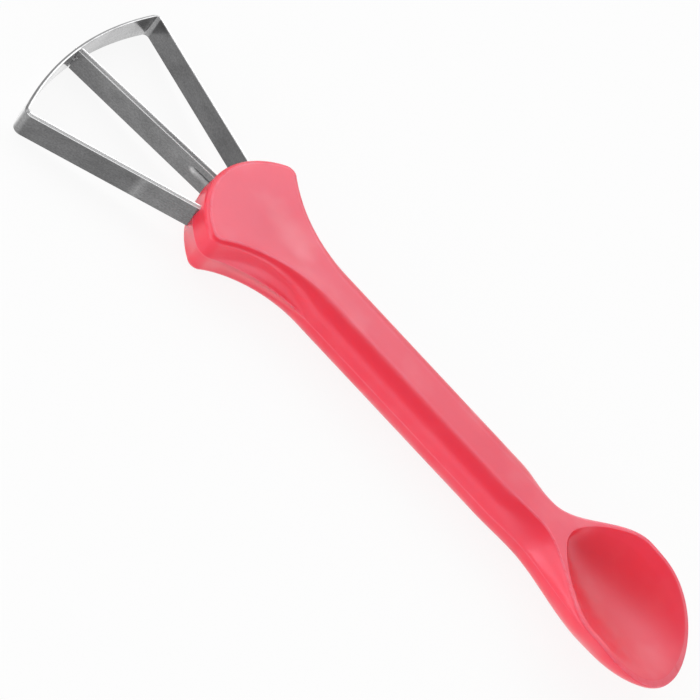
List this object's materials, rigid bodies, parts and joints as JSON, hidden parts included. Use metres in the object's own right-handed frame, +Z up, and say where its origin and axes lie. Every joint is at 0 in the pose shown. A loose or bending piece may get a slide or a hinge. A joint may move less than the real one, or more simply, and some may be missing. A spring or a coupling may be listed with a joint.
{
  "type": "melon cutter",
  "caption": "Melon cutter with a fan of steel strip blades that slices wedges, a flat bell-shaped head, a rounded grip and a seed scoop at the far end.",
  "frame": {"origin": "middle of the overall box, at the height of the lowest edge of the arc blade", "axes": "+X along the grip towards the seed scoop, +Y across the handle, +Z up out of the hollow of the scoop"},
  "size_m": [0.2356, 0.0674, 0.0173],
  "materials": {
    "outer_blade_steel": "rolled stainless strip with a chamfered upper edge",
    "centre_blade_steel": "rolled stainless strip with a ground upper edge",
    "handle_plastic": "glossy translucent red moulding"
  },
  "bodies": {
    "root": {"outer_blade": "outer_blade_steel", "centre_blade": "centre_blade_steel", "handle": "handle_plastic"}
  },
  "joints": []
}
